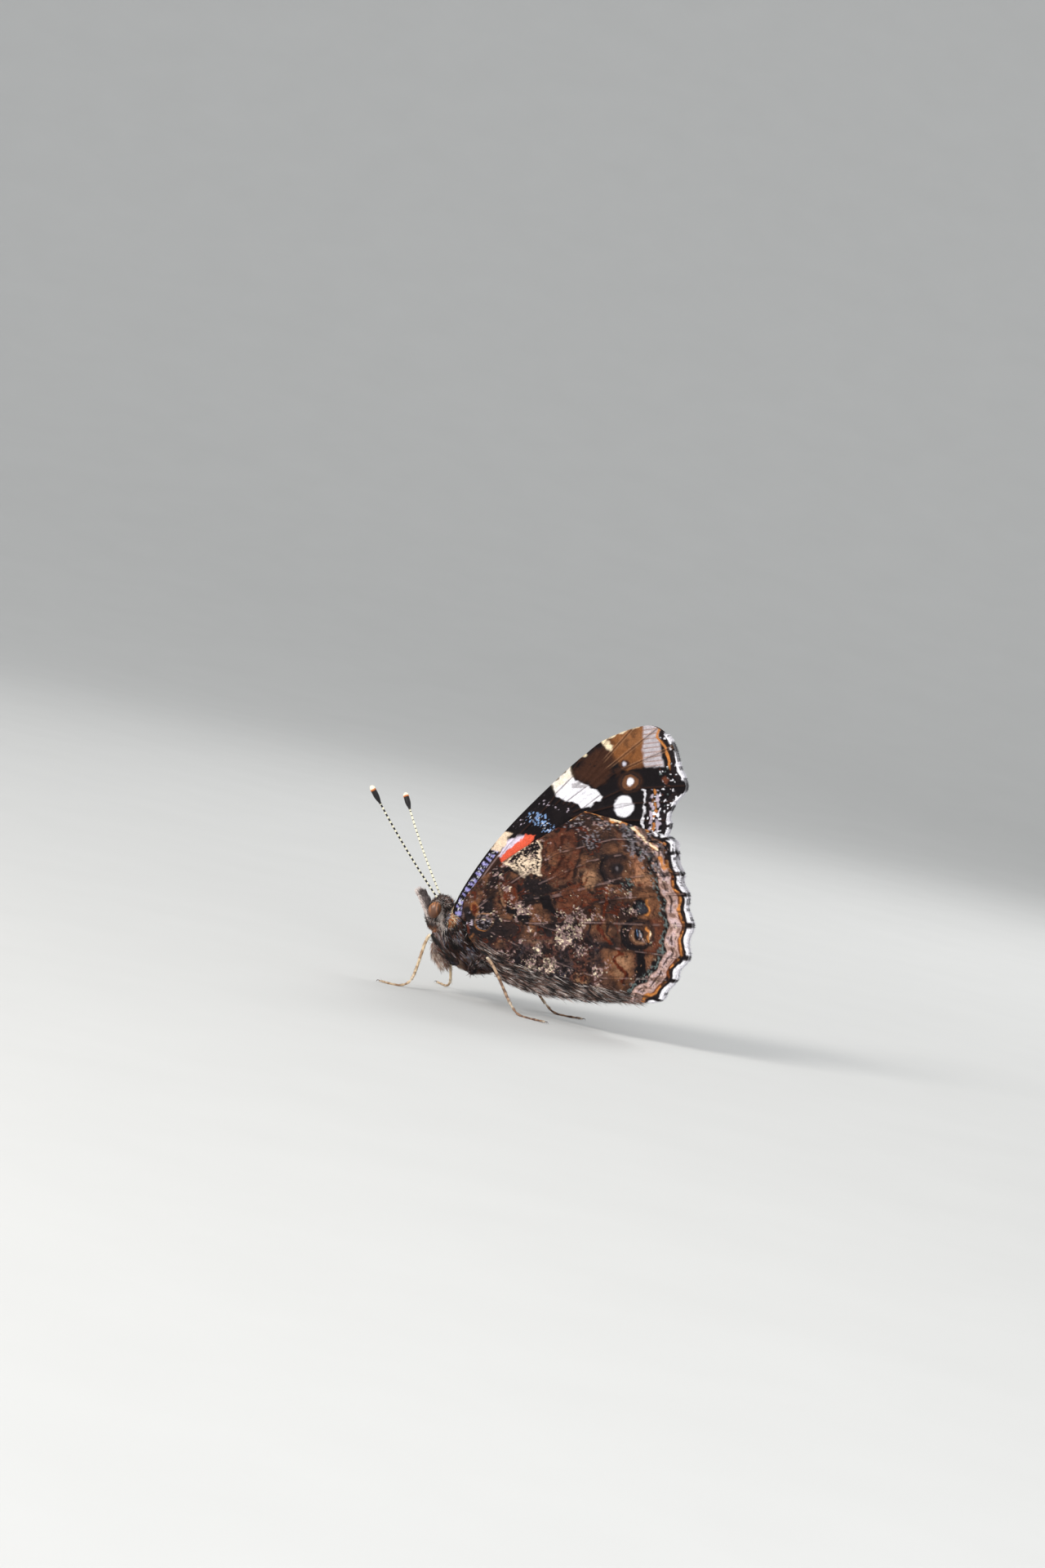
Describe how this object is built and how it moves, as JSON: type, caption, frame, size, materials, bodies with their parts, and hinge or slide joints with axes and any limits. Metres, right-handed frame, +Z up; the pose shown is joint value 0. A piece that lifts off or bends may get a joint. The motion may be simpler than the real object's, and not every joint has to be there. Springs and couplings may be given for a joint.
{
  "type": "red admiral butterfly",
  "caption": "Butterfly standing with its wings closed upright over the back, ridged veins and scalloped wing edges, clubbed antennae held forward, for display in a scene or a case.",
  "frame": {"origin": "on the floor under the middle of the butterfly's bounding box", "axes": "+X towards the tail along the floor, +Y towards the animal's right side, +Z up"},
  "size_m": [0.0388, 0.0138, 0.0342],
  "materials": {
    "body_hair": "dark brown and grey hair, combed back",
    "head_hair": "grey and brown hair",
    "brush_hair": "pinkish buff hair",
    "eye": "brown, softly glossy",
    "antenna": "black with white rings and a cream tip",
    "leg": "cream buff",
    "forewing": "black scales with white, orange red and blue marks",
    "hindwing": "marbled dark brown scales with eyespots"
  },
  "bodies": {
    "root": {"thorax": "body_hair", "abdomen": "body_hair", "head": "head_hair", "eye_left": "eye", "eye_right": "eye", "palp_left": "head_hair", "palp_right": "head_hair", "antenna_left": "antenna", "antenna_right": "antenna", "foreleg_left": "brush_hair", "foreleg_right": "brush_hair", "forewing_left": "forewing", "forewing_right": "forewing", "hindwing_left": "hindwing", "hindwing_right": "hindwing", "mid_leg_left_femur": "leg", "mid_leg_left_tibia": "leg", "mid_leg_left_tarsus": "leg", "mid_leg_right_femur": "leg", "mid_leg_right_tibia": "leg", "mid_leg_right_tarsus": "leg", "hind_leg_left_femur": "leg", "hind_leg_left_tibia": "leg", "hind_leg_left_tarsus": "leg", "hind_leg_right_femur": "leg", "hind_leg_right_tibia": "leg", "hind_leg_right_tarsus": "leg"}
  },
  "joints": []
}
